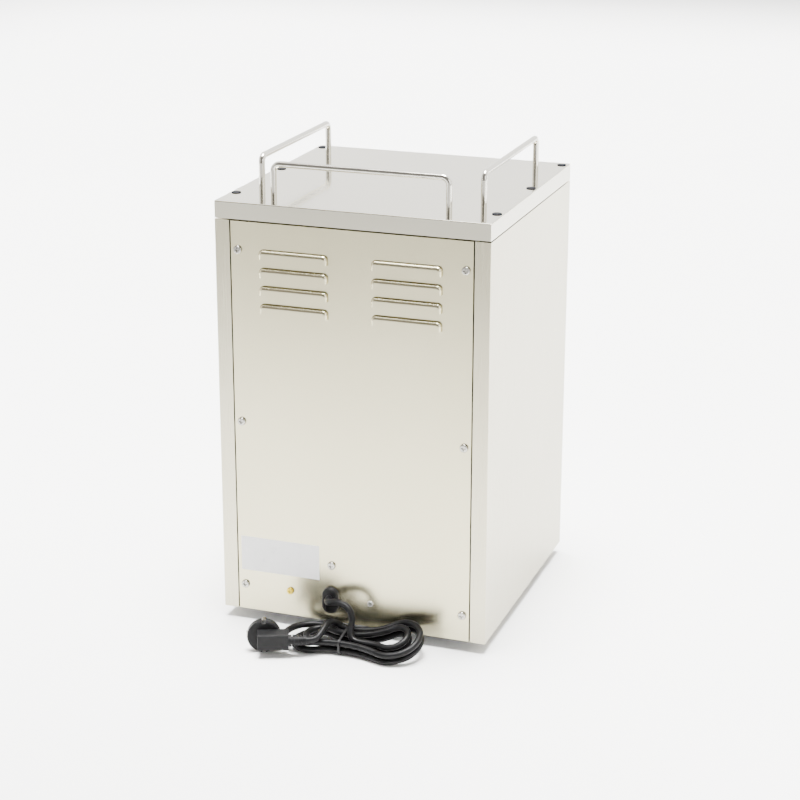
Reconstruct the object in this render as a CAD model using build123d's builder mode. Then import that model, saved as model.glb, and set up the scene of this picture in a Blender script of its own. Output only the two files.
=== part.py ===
from build123d import *

import math
import os

# Cup warmer cabinet, in millimetres. +Z is up, the door faces -Y and the rear panel faces +Y.
# The origin is on the table, under the middle of the cabinet with its handle and cord bushing.

# Shell
body_width = 320.0
body_depth = 320.0
foot_height = 13.0
shell_height = 466.3
lid_gap = 1.5
lid_rim = 19.2
sheet = 1.0
fit_gap = 0.3
rear_flange = 17.7
rear_panel_gap = 1.6
joggle = 1.0
screw_flange = 22.0
side_fold_width = 14.0
front_hem = 10.0

# Reach of what stands out of the front and the rear
handle_reach = 36.0
bushing_reach = 6.0

# Top rails
rail_rod = 7.0
rail_span = 204.0
rail_rise = 38.5
rail_bend = 8.0
rail_stud = 5.0
rail_stud_length = 9.0
side_rail_inset = 29.5
side_rail_front = 49.0
rear_rail_inset = 33.0
rail_nut_size = 8.0
rail_nut_height = 4.0

# Lid fastening
plug_hole = 9.5
plug_cap = 11.0
plug_cap_height = 0.9
plug_stem_height = 4.0
lid_fastener_inset = 7.5
lid_fastener_front = 12.3
lid_fastener_rear = 44.3
small_screw = 4.0
small_screw_head = 7.6
small_screw_head_height = 2.4

# Rear panel
louvre_columns = (66.5, -65.5)
louvre_rows = 4
louvre_pitch = 20.6
louvre_drop = 30.3
louvre_width = 81.0
louvre_height = 11.0
louvre_depth = 5.0
louvre_wall = 0.8
louvre_corner = 5.0
pan_head = 9.6
pan_head_height = 2.8
pan_shank = 4.0
pan_length = 8.0
thread_gap = 0.05
rear_screw_inset = 27.4
rear_screw_low = 31.6
rear_screw_high = 32.7
middle_screw_x = 24.8
middle_screw_z = 82.8
earth_screw_x = 76.2
earth_screw_z = 43.8
earth_head = 8.4
rivet_x = -22.4
rivet_z = 42.3
rivet_head = 6.8
rivet_bore = 3.0
label_width = 97.0
label_height = 42.0
label_film = 0.15
label_x = 88.4
label_z = 83.6
bushing_x = 25.5
bushing_z = 40.5
bushing_width = 20.0
bushing_height = 32.0
bushing_neck = 3.0
bushing_inside = 8.0
cord_exit_rise = 4.5

# Base
foot_diameter = 26.0
foot_taper = 2.0
foot_inset = 44.0
foot_recess = 7.0
base_lip = 9.0
rear_play = 3.5

# Door, its hinges and the frame behind it
door_gap = 3.9
door_thickness = 24.0
door_skin = 0.8
door_corner = 3.0
gasket_thickness = 5.7
frame_gap = 6.0
gasket_inset = 24.0
gasket_width = 7.0
pivot_from_edge = 12.0
pivot_from_front = 8.0
hinge_plate = 1.8
hinge_plate_width = 26.0
hinge_pin = 6.0
hinge_pin_length = 14.0
pin_clearance = 0.05
washer_height = 1.5
washer_diameter = 14.0
bushing_wall = 2.0
running_gap = 0.3
handle_rod = 10.0
handle_span = 128.0
handle_bend = 12.0
handle_from_edge = 30.0
handle_screw = 4.0
strike_size = 30.0
strike_thickness = 1.0
catch_play = 0.5
catch_inset = 18.0
catch_width = 14.0

# Control fascia
fascia_height = 82.0
control_z = 54.0
knob_x = 95.0
knob_diameter = 38.0
knob_height = 20.0
knob_skirt = 4.0
knob_play = 1.0
pointer_start = 225.0
spindle_diameter = 6.0
spindle_length = 26.0
thermostat_size = 40.0
thermostat_depth = 26.0
lamp_x = -62.0
lamp_diameter = 12.0
lamp_height = 3.0
switch_x = -100.0
switch_width = 15.0
switch_height = 27.0
switch_bezel = 3.0
switch_bezel_height = 2.0
switch_depth = 22.0
rocker_throw = 18.0
rocker_play = 0.5
rocker_length = 22.0
rocker_reach = 7.0
pivot_depth = 5.0

# Heated chamber
chamber_side = 38.0
chamber_bottom = 112.0
chamber_headroom = 17.3
liner = 0.8
rear_insulation = 28.0
tray_z = 74.0
tray_flange = 18.0
floor_hole = 5.0
floor_hole_pitch = 24.0
floor_hole_columns = 9
floor_hole_rows = 9
shelf_count = 3
runner_width = 12.0
runner_gap = 1.0
shelf_rod = 5.0
shelf_wire = 3.0
shelf_wires = 11
shelf_play = 3.0
shelf_front_gap = 8.0
shelf_rear_gap = 16.2
element_diameter = 6.5
element_z = 94.0
element_leg_pitch = 46.0
element_run = 190.0
element_saddle = 3.0
terminal_size = (46.0, 20.0, 18.0)
terminal_x = -32.0
terminal_from_rear = 60.0
bulb_inset = 20.0
bulb_drop = 14.0
bulb_length = 80.0
bulb_diameter = 6.0
bulb_clip = 4.0

# Mains cord, hank and plug, as they lie on the table behind the rear panel
cord_diameter = 7.6
plug_x = 79.0
plug_from_rear = 73.4
plug_turn = 21.7
plug_radius = 19.0
plug_front = 6.5
plug_back = 4.5
plug_block_height = 18.6
plug_block_back = 22.0
plug_block_near = 7.0
plug_block_far = 28.0
plug_relief_length = 20.0
plug_relief_axis = 15.0
plug_relief_start = 7.0
plug_relief_end = 5.6
relief_rings = 4
pin_diameter = 4.8
pin_length = 19.0
pin_pitch = 19.0
tie_width = 2.6
tie_thickness = 1.0
tie_gap = 0.4
tie_x = -6.0

# Heights and planes that follow from the sizes above
overall_depth = handle_reach + body_depth + bushing_reach
front_y = handle_reach - overall_depth / 2
rear_y = overall_depth / 2 - bushing_reach
middle_y = (front_y + rear_y) / 2
half_width = body_width / 2
shell_bottom = foot_height
shell_top = shell_bottom + shell_height
lid_bottom = shell_top + lid_gap
lid_top = lid_bottom + lid_rim
fascia_top = shell_bottom + fascia_height
frame_y = front_y + door_thickness + frame_gap
frame_back = frame_y + sheet
frame_bottom = fascia_top + hinge_plate
frame_top = shell_top - sheet - hinge_plate
door_bottom = frame_bottom + running_gap + washer_height
door_top = frame_top - running_gap - washer_height
door_half = half_width - door_gap
door_back = front_y + door_thickness
pivot_x = -door_half + pivot_from_edge
pivot_y = front_y + pivot_from_front
chamber_top = shell_top - chamber_headroom
chamber_half = half_width - chamber_side
liner_back_y = rear_y - rear_insulation
flange_x = half_width - rear_flange
inner_flange_front = rear_y - joggle - sheet
panel_half = flange_x - rear_panel_gap
pin_radius = hinge_pin / 2
handle_x = door_half - handle_from_edge
catch_x = half_width - catch_inset
handle_z = (door_bottom + door_top) / 2

os.makedirs("parts", exist_ok=True)


def save(piece, name):
    """Label one finished piece and write it to its own file."""
    piece.part.label = name
    export_step(piece.part, f"parts/{name}.step")


def between(x0, x1, y0, y1):
    """Add a rectangle to the open sketch from its four limits."""
    with Locations(((x0 + x1) / 2, (y0 + y1) / 2)):
        Rectangle(abs(x1 - x0), abs(y1 - y0))


def block(x0, x1, y0, y1, z0, z1, mode=Mode.ADD):
    """Add a box to the open part from its six limits."""
    with Locations(((x0 + x1) / 2, (y0 + y1) / 2, (z0 + z1) / 2)):
        Box(abs(x1 - x0), abs(y1 - y0), abs(z1 - z0), mode=mode)


def rod(x, y, z, diameter, length, axis=Axis.Z, mode=Mode.ADD):
    """Add a round rod to the open part, from a point along one axis."""
    turned = {"X": (0, 90, 0), "Y": (-90, 0, 0), "Z": (0, 0, 0)}
    name = "XYZ"[[abs(c) for c in axis.direction].index(1)]
    with Locations(Location((x, y, z), turned[name])):
        Cylinder(diameter / 2, length, align=(Align.CENTER, Align.CENTER, Align.MIN), mode=mode)


lid_fastener_pitch = (body_depth - lid_fastener_front - lid_fastener_rear) / 2
lid_fasteners = [
    (side * (half_width - lid_fastener_inset), front_y + lid_fastener_front + row * lid_fastener_pitch)
    for side in (-1, 1)
    for row in range(3)
]
rear_screw_bottom = shell_bottom + rear_screw_low
rear_screw_top = shell_top - rear_screw_high
rear_screws = [
    (side * (half_width - rear_screw_inset), z)
    for side in (-1, 1)
    for z in (rear_screw_bottom, (rear_screw_bottom + rear_screw_top) / 2, rear_screw_top)
]
foot_places = [
    (side * (half_width - foot_inset), middle_y + end * (body_depth / 2 - foot_inset))
    for side in (-1, 1)
    for end in (-1, 1)
]


# Side panels: one folded sheet each, with the rear flange that frames the rear panel
def side_panel(side, name):
    wall = side * (half_width - sheet)
    outer = side * half_width
    step_x = side * flange_x
    with BuildPart() as panel:
        with BuildSketch(Plane.XY.offset(shell_bottom)):
            between(wall, outer, front_y, rear_y)
            between(step_x, outer, rear_y - sheet, rear_y)
            between(step_x, step_x + side * sheet, inner_flange_front, rear_y)
            between(side * (flange_x - screw_flange), step_x + side * sheet,
                    inner_flange_front, rear_y - joggle)
            between(wall - side * sheet, outer, front_y, front_y + front_hem)
        extrude(amount=shell_height)
        fold = side * (half_width - side_fold_width)
        block(fold, wall, front_y, rear_y - sheet, shell_bottom, shell_bottom + sheet)
        block(fold, wall, front_y, rear_y - sheet, shell_top - sheet, shell_top)
        for x, z in rear_screws:
            if x * side > 0:
                rod(x, inner_flange_front - 1, z, pan_shank + 2 * thread_gap, sheet + 2, Axis.Y, Mode.SUBTRACT)
        for x, y in lid_fasteners:
            if x * side > 0:
                rod(x, y, shell_top - 2 * sheet, small_screw + 2 * thread_gap, 3 * sheet, Axis.Z, Mode.SUBTRACT)
        rear_edge = panel.edges().filter_by(Axis.Z).sort_by(Axis.Y)[-8:].sort_by(Axis.X)
        fillet(rear_edge[-1] if side > 0 else rear_edge[0], radius=0.8 * sheet)
    save(panel, name)


side_panel(-1, "left_side_panel")
side_panel(1, "right_side_panel")

# Base plate, resting on the side panels' bottom folds
base_z = shell_bottom + sheet
with BuildPart() as base_plate:
    inside = half_width - sheet - fit_gap
    block(-inside, inside, front_y + front_hem + fit_gap, inner_flange_front - fit_gap, base_z, base_z + sheet)
    lip_back = inner_flange_front - fit_gap
    block(-inside, inside, lip_back - sheet, lip_back, base_z, base_z + base_lip)
    for x, y in foot_places:
        rod(x, y, base_z - 1, small_screw + 2 * thread_gap, sheet + 2, Axis.Z, Mode.SUBTRACT)
save(base_plate, "base_plate")

# Feet and their screws
with BuildPart() as feet:
    for x, y in foot_places:
        with Locations((x, y, 0)):
            Cone(foot_diameter / 2 - foot_taper, foot_diameter / 2, base_z,
                 align=(Align.CENTER, Align.CENTER, Align.MIN))
        rod(x, y, -1, small_screw_head + 1, foot_recess + 1, Axis.Z, Mode.SUBTRACT)
        rod(x, y, 0, small_screw + 2 * thread_gap, base_z, Axis.Z, Mode.SUBTRACT)
save(feet, "feet")

with BuildPart() as foot_screws:
    for x, y in foot_places:
        rod(x, y, foot_recess, small_screw, base_z + 5 - foot_recess)
        rod(x, y, foot_recess - small_screw_head_height, small_screw_head, small_screw_head_height)
save(foot_screws, "foot_screws")

# Lid: a folded pan with a return along each side for its screws
with BuildPart() as lid:
    block(-half_width, half_width, front_y, rear_y, lid_bottom, lid_top)
    fillet(lid.edges().group_by(Axis.Z)[-1] + lid.edges().filter_by(Axis.Z), radius=sheet)
    hollow = half_width - sheet
    block(-hollow, hollow, front_y + sheet, rear_y - sheet, lid_bottom, lid_top - sheet, Mode.SUBTRACT)
    for side in (-1, 1):
        block(side * (half_width - side_fold_width), side * (hollow + 0.1), front_y + sheet,
              rear_y - sheet, lid_bottom, lid_bottom + sheet)
    for x, y in lid_fasteners:
        rod(x, y, lid_top - 2 * sheet, plug_hole, 3 * sheet, Axis.Z, Mode.SUBTRACT)
        rod(x, y, lid_bottom - sheet, small_screw + fit_gap, 3 * sheet, Axis.Z, Mode.SUBTRACT)
    rail_feet = [(side * (half_width - side_rail_inset), front_y + side_rail_front + y) for side in (-1, 1) for y in (0, rail_span)]
    rail_feet += [(end * rail_span / 2, rear_y - rear_rail_inset) for end in (-1, 1)]
    for x, y in rail_feet:
        rod(x, y, lid_top - 2 * sheet, rail_stud + fit_gap, 3 * sheet, Axis.Z, Mode.SUBTRACT)
save(lid, "lid")

with BuildPart() as hole_plugs:
    for x, y in lid_fasteners:
        rod(x, y, lid_top, plug_cap, plug_cap_height)
        rod(x, y, lid_top - plug_stem_height, plug_hole - 2 * thread_gap, plug_stem_height)
    fillet(hole_plugs.edges().group_by(Axis.Z)[-1], radius=0.5 * plug_cap_height)
save(hole_plugs, "hole_plugs")

with BuildPart() as lid_screws:
    for x, y in lid_fasteners:
        head_z = lid_bottom + sheet
        rod(x, y, head_z, small_screw_head, small_screw_head_height)
        rod(x, y, shell_top - 3 * sheet, small_screw, head_z - shell_top + 3 * sheet)
save(lid_screws, "lid_screws")

with BuildPart() as lid_spacers:
    for x, y in lid_fasteners:
        rod(x, y, shell_top, small_screw_head, lid_gap)
        rod(x, y, shell_top - 1, small_screw + fit_gap, lid_gap + 2, Axis.Z, Mode.SUBTRACT)
save(lid_spacers, "lid_spacers")


# Top rails: bent round rod with a stud in each foot
def top_rail(start, finish, name):
    up = lid_top + rail_rise
    with BuildPart() as rail:
        with BuildLine() as path:
            FilletPolyline((*start, lid_top), (*start, up), (*finish, up), (*finish, lid_top), radius=rail_bend)
        with BuildSketch(Plane(origin=(*start, lid_top), z_dir=(0, 0, 1))):
            Circle(rail_rod / 2)
        sweep(path=path.line)
        for foot in (start, finish):
            rod(*foot, lid_top - rail_stud_length, rail_stud, rail_stud_length + 1)
    save(rail, name)


top_rail(rail_feet[0], rail_feet[1], "left_rail")
top_rail(rail_feet[2], rail_feet[3], "right_rail")
top_rail(rail_feet[4], rail_feet[5], "rear_rail")

with BuildPart() as rail_nuts:
    with BuildSketch(Plane.XY.offset(lid_top - sheet)):
        with Locations(*rail_feet):
            RegularPolygon(rail_nut_size / 2, 6, major_radius=False)
            Circle(rail_stud / 2 + thread_gap, mode=Mode.SUBTRACT)
    extrude(amount=-rail_nut_height)
save(rail_nuts, "rail_nuts")

# Rear panel with its two columns of pressed louvres
louvre_places = [
    (x, rear_y, shell_top - louvre_drop - louvre_height / 2 - row * louvre_pitch)
    for x in louvre_columns
    for row in range(louvre_rows)
]


def louvre_form(wall):
    """One pressed hood, or with a wall its hollow: rounded at the top and the ends, flat below."""
    width = louvre_width - 2 * wall
    height = louvre_height - wall
    depth = louvre_depth - wall
    corner = louvre_corner - wall
    with BuildPart(mode=Mode.PRIVATE) as hood:
        with Locations((0, (depth - sheet) / 2, -wall / 2)):
            Box(width, depth + sheet, height)
        fillet(hood.edges().filter_by(Axis.Y).group_by(Axis.Z)[-1], radius=corner)
        front = hood.faces().sort_by(Axis.Y)[-1].edges()
        fillet(front.sort_by(Axis.Z)[1:], radius=0.8 * depth)
    return hood.part


hood_outside = louvre_form(0)
hood_inside = louvre_form(louvre_wall)

with BuildPart() as rear_panel:
    block(-panel_half, panel_half, rear_y - sheet, rear_y, shell_bottom + fit_gap, shell_top - fit_gap)
    with Locations(*louvre_places):
        add(hood_outside)
    with Locations(*louvre_places):
        add(hood_inside, mode=Mode.SUBTRACT)
    with BuildSketch(Plane.XZ.offset(-rear_y - 1)):
        with Locations(*rear_screws, (middle_screw_x, middle_screw_z)):
            Circle(pan_shank / 2 + fit_gap)
        with Locations((earth_screw_x, earth_screw_z)):
            Circle(small_screw / 2 + thread_gap)
        with Locations((rivet_x, rivet_z)):
            Circle(rivet_bore / 2 + 0.5)
        with Locations((bushing_x, bushing_z)):
            SlotOverall(bushing_height - 2 * bushing_neck, bushing_width - 2 * bushing_neck, rotation=90)
    extrude(amount=sheet + 2, mode=Mode.SUBTRACT)
save(rear_panel, "rear_panel")


def cross_recess(x, y, z, size, depth):
    """Cut the cross of a cross-head screw into the open part, from the +Y side."""
    block(x - size / 2, x + size / 2, y - depth, y + 1, z - size / 7, z + size / 7, Mode.SUBTRACT)
    block(x - size / 7, x + size / 7, y - depth, y + 1, z - size / 2, z + size / 2, Mode.SUBTRACT)


with BuildPart() as rear_panel_screws:
    for x, z in rear_screws + [(middle_screw_x, middle_screw_z)]:
        rod(x, rear_y, z, pan_head, pan_head_height, Axis.Y)
        rod(x, rear_y - pan_length, z, pan_shank, pan_length, Axis.Y)
    fillet(rear_panel_screws.edges().group_by(Axis.Y)[-1], radius=0.55 * pan_head_height)
    for x, z in rear_screws + [(middle_screw_x, middle_screw_z)]:
        cross_recess(x, rear_y + pan_head_height, z, 0.55 * pan_head, 0.6 * pan_head_height)
save(rear_panel_screws, "rear_panel_screws")

with BuildPart() as earth_screw:
    rod(earth_screw_x, rear_y, earth_screw_z, earth_head, pan_head_height, Axis.Y)
    fillet(earth_screw.edges().group_by(Axis.Y)[-1], radius=0.5 * pan_head_height)
    rod(earth_screw_x, rear_y - 2 * pan_length, earth_screw_z, small_screw, 2 * pan_length, Axis.Y)
    rod(earth_screw_x, rear_y - sheet - 4, earth_screw_z, earth_head, 3, Axis.Y)
    cross_recess(earth_screw_x, rear_y + pan_head_height, earth_screw_z, 0.5 * earth_head, 1.5)
save(earth_screw, "earth_screw")

with BuildPart() as panel_rivet:
    rod(rivet_x, rear_y, rivet_z, rivet_head, 1.2, Axis.Y)
    fillet(panel_rivet.edges().group_by(Axis.Y)[-1], radius=0.5)
    rod(rivet_x, rear_y - 6, rivet_z, rivet_bore + 1 - 2 * thread_gap, 6, Axis.Y)
    rod(rivet_x, rear_y - 7, rivet_z, rivet_bore, 9, Axis.Y, Mode.SUBTRACT)
save(panel_rivet, "panel_rivet")

with BuildPart() as rating_label:
    block(label_x - label_width / 2, label_x + label_width / 2, rear_y, rear_y + label_film,
          label_z - label_height / 2, label_z + label_height / 2)
save(rating_label, "rating_label")

# Cord bushing: an upright flange with a neck through the panel and a wedge below the cord
cord_exit_z = bushing_z + cord_exit_rise
with BuildPart() as cord_bushing:
    with BuildSketch(Plane.XZ.offset(-rear_y)):
        with Locations((bushing_x, bushing_z)):
            SlotOverall(bushing_height, bushing_width, rotation=90)
    extrude(amount=-bushing_reach)
    fillet(cord_bushing.edges().group_by(Axis.Y)[-1], radius=0.4 * bushing_reach)
    with BuildSketch(Plane.XZ.offset(-rear_y)):
        with Locations((bushing_x, bushing_z)):
            neck = 2 * bushing_neck + 2 * thread_gap
            SlotOverall(bushing_height - neck, bushing_width - neck, rotation=90)
    extrude(amount=bushing_inside)
    block(bushing_x - bushing_width / 4, bushing_x + bushing_width / 4, rear_y + bushing_reach - 1.5,
          rear_y + bushing_reach + 1, bushing_z - 0.42 * bushing_height,
          bushing_z - 0.12 * bushing_height, Mode.SUBTRACT)
save(cord_bushing, "cord_bushing")


# Mains cord
# Two stations at the ends of the hank and one at its waist give the middle of its turns.
hank_waist = (-10.0, 38.7, 7.8, 8.5)
hank_right = (-10.0, 32.6, 17.5, 21.8)
hank_left = (-10.0, 36.7, 4.7, 2.0)
hank_left_skew = -10.0
hank_lane = 9.7
hank_inner = 5.6
hank_layer = 8.9
hank_right_reach = (69.9, 83.8)
hank_left_reach = (50.0, 63.1, 74.9)
hank_right_bow = ((25.9, 25.9), (44.0, 44.0))
hank_left_bow = ((24.0, 24.0), (37.8, 42.0), (50.6, 40.0))
hank_start_shift = -28.0
hank_start_aside = -1.6
hank_end_shift = -3.5
tail_sections = 48


def across(tilt, skew=0.0):
    """The direction across the hank's turns, towards the cabinet and upwards by its tilt."""
    t, s = math.radians(tilt), math.radians(skew)
    return Vector(math.sin(s) * math.cos(t), -math.cos(s) * math.cos(t), math.sin(t))


def above(tilt):
    """The direction from one layer of turns to the next."""
    t = math.radians(tilt)
    return Vector(0, math.sin(t), math.cos(t))


def waist_point(side, lane, layer, shift=0.0, aside=0.0):
    x, y, z, tilt = hank_waist
    off = side * (hank_inner + lane * hank_lane) + aside
    place = Vector(x + shift, rear_y + y, z) + across(tilt) * off + above(tilt) * (layer * hank_layer)
    return place, Vector(side, 0, 0), 0.0, 0.0


def end_point(side, lane, layer):
    x, y, z, tilt = hank_left if side > 0 else hank_right
    reach = (hank_left_reach if side > 0 else hank_right_reach)[lane]
    bow_in, bow_out = (hank_left_bow if side > 0 else hank_right_bow)[lane]
    skew = hank_left_skew if side > 0 else 0.0
    place = Vector(x + side * reach, rear_y + y, z) + above(tilt) * (layer * hank_layer)
    return place, across(tilt, skew) * -side, bow_in, bow_out


def hank_stations():
    """The hank's turns in order: the top inner turn first, then down, outwards and up again."""
    return [
        waist_point(-1, 0, 1, hank_start_shift, hank_start_aside), end_point(-1, 0, 1),
        waist_point(1, 0, 1), end_point(1, 0, 0.98),
        waist_point(-1, 0, 0), end_point(-1, 0, 0),
        waist_point(1, 0, 0), end_point(1, 1, 0),
        waist_point(-1, 1, 0), end_point(-1, 1, 0),
        waist_point(1, 1, 0), end_point(1, 2, 0.75),
        waist_point(-1, 1, 1), end_point(-1, 1, 1),
        waist_point(1, 1, 1, hank_end_shift),
    ]


def quarter_turn(start, finish):
    """The meeting point and its direction, for the two arcs of one quarter turn."""
    p0, t0, _, bow0 = start
    p1, t1, bow1, _ = finish
    gap = p1 - p0
    if bow1:
        bow0 = (gap.dot(gap) / 2 - bow1 * gap.dot(t1)) / (gap.dot(t0) + bow1 * (1 - t0.dot(t1)))
    else:
        bow1 = (gap.dot(gap) / 2 - bow0 * gap.dot(t0)) / (gap.dot(t1) + bow0 * (1 - t0.dot(t1)))
    q0 = p0 + t0 * bow0
    q1 = p1 - t1 * bow1
    return q0 + (q1 - q0) * (bow0 / (bow0 + bow1)), (q1 - q0).normalized()


def arc_points(start, direction, finish, count):
    """Points along the arc that leaves start in a direction and ends at finish."""
    chord = finish - start
    along = chord.dot(direction)
    aside = chord - direction * along
    radius = chord.dot(chord) / (2 * aside.length)
    angle = 2 * math.atan2(aside.length, along)
    normal = aside.normalized()
    return [
        start + direction * (radius * math.sin(angle * i / count))
        + normal * (radius * (1 - math.cos(angle * i / count)))
        for i in range(count)
    ], radius


stations = hank_stations()
hank_start = stations[0][0] - stations[0][1] * cord_diameter
hank_end = stations[-1][0] + stations[-1][1] * cord_diameter
hank_arcs = []
for before, after in zip(stations, stations[1:]):
    meet, heading = quarter_turn(before, after)
    hank_arcs += [(before[0], before[1], meet), (meet, heading, after[0])]

hank_trace = []
hank_radii = []
for start, direction, finish in hank_arcs:
    points, radius = arc_points(start, direction, finish, 12)
    hank_trace += points
    hank_radii.append(radius)
hank_trace.append(hank_arcs[-1][2])
walked = [0.0]
for before, after in zip(hank_trace, hank_trace[1:]):
    walked.append(walked[-1] + (after - before).length)
own_gap = min(
    (hank_trace[i] - hank_trace[j]).length
    for i in range(len(hank_trace))
    for j in range(i)
    if walked[i] - walked[j] > 5 * cord_diameter
) - cord_diameter
hank_length = walked[-1] + 2 * cord_diameter
lowest = min(point.Z for point in hank_trace) - cord_diameter / 2
print(f"hank: length {hank_length:.0f}, tightest radius {min(hank_radii):.1f}, "
      f"least gap to itself {own_gap:.2f}, lowest {lowest:.2f}")

with BuildPart() as cord_hank:
    with BuildLine() as hank_path:
        Line(hank_start, stations[0][0])
        for start, direction, finish in hank_arcs:
            TangentArc(start, finish, tangent=direction)
        Line(stations[-1][0], hank_end)
    with BuildSketch(Plane(origin=hank_start, z_dir=stations[0][1])):
        Circle(cord_diameter / 2)
    sweep(path=hank_path.wires()[0])
save(cord_hank, "cord_hank")

# The plug stands on its rim with its pins towards the cabinet and its lead to the hank.
turn = math.radians(plug_turn)
plug_along = Vector(math.cos(turn), math.sin(turn), 0)
plug_out = Vector(-math.sin(turn), math.cos(turn), 0)
plug_centre = Vector(plug_x, rear_y + plug_from_rear, plug_radius + 0.1)
lead_end = plug_centre + plug_out * plug_relief_axis - plug_along * (plug_block_far + plug_relief_length)


def cord_piece(points, name):
    """A free stretch of cord: straight runs joined by arcs as large as their runs allow."""
    points = [Vector(*point) for point in points]
    radii = []
    for a, b, c in zip(points, points[1:], points[2:]):
        turned = (b - a).get_angle(c - b)
        shorter = min((b - a).length, (c - b).length)
        radii.append(0.45 * shorter / math.tan(math.radians(turned / 2)))
    with BuildPart() as piece:
        with BuildLine() as route:
            FilletPolyline(*points, radius=radii)
        with BuildSketch(Plane(origin=points[0], z_dir=points[1] - points[0])):
            Circle(cord_diameter / 2)
        sweep(path=route.wires()[0])
    length = route.wires()[0].length
    expected = length * math.pi * cord_diameter**2 / 4
    print(name, "length", round(length, 1), "radii", [round(r, 1) for r in radii],
          "volume over section times length", round(piece.part.volume / expected, 4))
    save(piece, name)
    return length


mains_cord_route = [
    (bushing_x, rear_y + bushing_reach, cord_exit_z),
    (bushing_x, rear_y + 21.0, cord_exit_z),
    (9.0, rear_y + 24.0, 50.5),
    (-6.5, rear_y + 27.5, 47.0),
    (-12.5, rear_y + 31.5, 37.0),
    (-13.0, rear_y + 39.0, 27.5),
    (-15.0, rear_y + 45.0, 19.8),
    (hank_start.X + 9.0, hank_start.Y, hank_start.Z),
    (hank_start.X, hank_start.Y, hank_start.Z),
]
plug_lead_route = [
    (hank_end.X, hank_end.Y, hank_end.Z),
    (hank_end.X + 6.0, hank_end.Y, hank_end.Z),
    (8.9, rear_y + 25.4, 25.0),
    (14.0, rear_y + 40.0, 31.7),
    (15.8, rear_y + 57.4, 24.5),
    (lead_end.X - 10.0 * plug_along.X, lead_end.Y - 10.0 * plug_along.Y, lead_end.Z),
    (lead_end.X, lead_end.Y, lead_end.Z),
]
mains_length = cord_piece(mains_cord_route, "mains_cord")
lead_length = cord_piece(plug_lead_route, "plug_lead")
print("whole cord", round(mains_length + hank_length + lead_length))

# Cable tie round the waist of the hank
tie_tilt = hank_waist[3]
tie_middle = Vector(tie_x, rear_y + hank_waist[1], hank_waist[2]) + above(tie_tilt) * (hank_layer / 2)
tie_plane = Plane(origin=tie_middle - Vector(tie_width / 2, 0, 0), x_dir=across(tie_tilt), z_dir=(1, 0, 0))
bundle_width = 2 * (hank_inner + hank_lane) + cord_diameter + 2 * tie_gap
bundle_height = hank_layer + cord_diameter + 2 * tie_gap
with BuildPart() as cord_tie:
    with BuildSketch(tie_plane):
        RectangleRounded(bundle_width + 2 * tie_thickness, bundle_height + 2 * tie_thickness,
                         cord_diameter / 2 + tie_gap + tie_thickness)
        RectangleRounded(bundle_width, bundle_height, cord_diameter / 2 + tie_gap, mode=Mode.SUBTRACT)
    extrude(amount=tie_width)
save(cord_tie, "cord_tie")

# Plug
plug_plane = Plane(origin=plug_centre, x_dir=plug_along, z_dir=plug_out)
with BuildPart() as plug_body:
    with BuildSketch(plug_plane.offset(-plug_front)):
        Circle(plug_radius)
    extrude(amount=plug_front + plug_back)
    chamfer(plug_body.edges().filter_by(GeomType.CIRCLE), length=1.2)
    with BuildSketch(plug_plane.offset(plug_back - 1)):
        between(-plug_block_far, plug_block_near, -plug_block_height / 2, plug_block_height / 2)
    extrude(amount=plug_block_back - plug_back + 1)
    fillet(plug_body.faces().sort_by(Axis(plug_centre, plug_out))[-1].edges(), radius=1.5)
    with BuildSketch(plug_plane.offset(-plug_front - 1)):
        with Locations((0, plug_radius), (0, -plug_radius)):
            Rectangle(4.5, 6.0)
    extrude(amount=plug_front + plug_back + 2, mode=Mode.SUBTRACT)
    with BuildSketch(plug_plane.offset(-plug_front)):
        with Locations((0, pin_pitch / 2), (0, -pin_pitch / 2)):
            Circle(pin_diameter / 2)
    extrude(amount=4, mode=Mode.SUBTRACT)
    relief_plane = Plane(origin=lead_end, x_dir=(0, 0, 1), z_dir=plug_along)
    with BuildSketch(relief_plane):
        Circle(plug_relief_end)
    with BuildSketch(relief_plane.offset(plug_relief_length + 1)):
        Circle(plug_relief_start)
    loft()
    ring_pitch = plug_relief_length / (relief_rings + 1)
    for ring in range(relief_rings):
        with BuildSketch(relief_plane.offset((ring + 1) * ring_pitch - 0.8)):
            Circle(plug_relief_start + 1)
            Circle(plug_relief_end - 1.0, mode=Mode.SUBTRACT)
        extrude(amount=1.6, mode=Mode.SUBTRACT)
save(plug_body, "plug_body")

with BuildPart() as plug_pins:
    with BuildSketch(plug_plane.offset(4 - plug_front)):
        with Locations((0, pin_pitch / 2), (0, -pin_pitch / 2)):
            Circle(pin_diameter / 2)
    extrude(amount=-pin_length - 4)
    fillet(plug_pins.edges().group_by(Axis(plug_centre, plug_out))[0], radius=1.5)
save(plug_pins, "plug_pins")

with BuildPart() as plug_earth_clips:
    with BuildSketch(plug_plane.offset(-plug_front)):
        with Locations((plug_radius + 0.2, 0), (-plug_radius - 0.2, 0)):
            Rectangle(1.2, 7.0)
        Circle(plug_radius, mode=Mode.SUBTRACT)
    extrude(amount=plug_front)
save(plug_earth_clips, "plug_earth_clips")

# Front frame: the plate the door's gasket closes against, with the chamber's mouth in it
with BuildPart() as front_frame:
    inside = half_width - sheet - fit_gap
    block(-inside, inside, frame_y, frame_back, base_z + sheet, shell_top - sheet)
    block(-chamber_half, chamber_half, frame_y - 1, frame_back + 1, chamber_bottom, chamber_top, Mode.SUBTRACT)
save(front_frame, "front_frame")

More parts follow.
